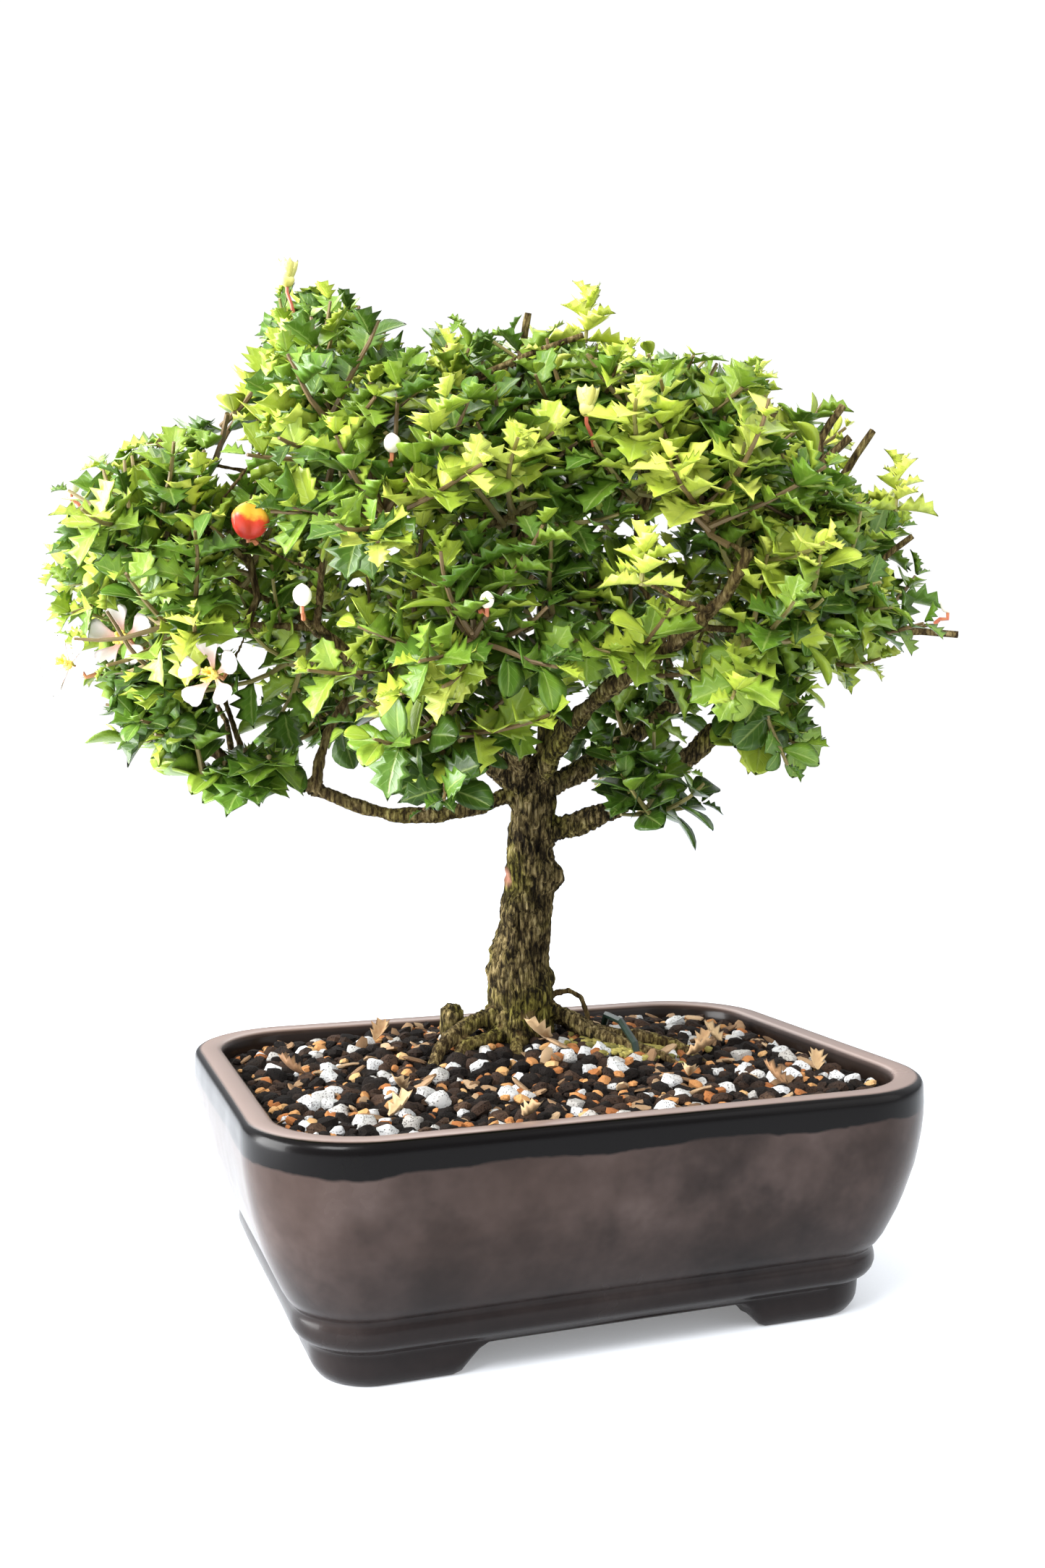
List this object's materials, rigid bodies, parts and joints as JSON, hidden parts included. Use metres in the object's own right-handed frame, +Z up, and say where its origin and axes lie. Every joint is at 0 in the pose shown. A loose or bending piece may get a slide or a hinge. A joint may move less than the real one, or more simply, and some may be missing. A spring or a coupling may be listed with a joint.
{
  "type": "potted bonsai tree",
  "caption": "Small spiny-leaved holly bonsai with a branching crown, open white flowers and one red fruit, rooted in gritty soil in a glazed rectangular footed pot",
  "frame": {"origin": "under the middle of the whole object's box, on the surface that the pot's feet stand on", "axes": "+Z up, X along the pot's long side, -Y towards the side of the pot that faces the viewer"},
  "size_m": [0.2636, 0.2274, 0.322],
  "materials": {
    "glaze": "glossy dark brown glaze",
    "drain_mesh": "woven plastic mesh",
    "wire_coat": "dark green coated wire",
    "soil": "gritty potting mix of broken stone and bark",
    "bark": "rough fissured bark",
    "leaf": "glossy leaf",
    "young_leaf": "pale young leaf",
    "petal": "thin white petal",
    "stamen": "powdery yellow",
    "bud": "smooth cream bud",
    "seed_head": "dry yellow sepals",
    "fruit": "shiny red skin"
  },
  "bodies": {
    "root": {"pot": "glaze", "drain_mesh_left": "drain_mesh", "drain_mesh_right": "drain_mesh", "tie_wire": "wire_coat", "soil": "soil", "trunk_and_branches": "bark", "leaf_pad_01": "leaf", "leaf_pad_02": "leaf", "leaf_pad_03": "leaf", "leaf_pad_04": "leaf", "leaf_pad_05": "leaf", "leaf_pad_06": "leaf", "leaf_pad_07": "leaf", "leaf_pad_08": "leaf", "leaf_pad_09": "leaf", "leaf_pad_10": "leaf", "leaf_pad_11": "leaf", "leaf_pad_12": "leaf", "leaf_pad_13": "leaf", "leaf_pad_14": "leaf", "leaf_pad_15": "leaf", "leaf_pad_16": "leaf", "leaf_pad_17": "leaf", "leaf_pad_18": "leaf", "leaf_pad_19": "leaf", "leaf_pad_20": "leaf", "leaf_pad_21": "leaf", "leaf_pad_22": "leaf", "leaf_pad_23": "leaf", "leaf_pad_24": "leaf", "leaf_pad_25": "leaf", "leaf_pad_26": "leaf", "leaf_pad_27": "leaf", "leaf_pad_28": "leaf", "leaf_pad_29": "leaf", "leaf_pad_30": "leaf", "leaf_pad_31": "leaf", "leaf_pad_32": "leaf", "leaf_pad_33": "leaf", "leaf_pad_34": "leaf", "leaf_pad_35": "leaf", "pale_shoot_1": "young_leaf", "pale_shoot_2": "young_leaf", "pale_shoot_3": "young_leaf", "pale_shoot_4": "young_leaf", "pale_shoot_5": "young_leaf", "bloom_1_petals": "petal", "bloom_1_stamens": "stamen", "bloom_2_petals": "petal", "bloom_2_stamens": "stamen", "bloom_3_petals": "petal", "bloom_3_stamens": "stamen", "bud_1": "bud", "bud_2": "bud", "bud_3": "bud", "bud_4": "bud", "bud_5": "bud", "seed_head_1": "seed_head", "seed_head_2": "seed_head", "fruit": "fruit"}
  },
  "joints": []
}
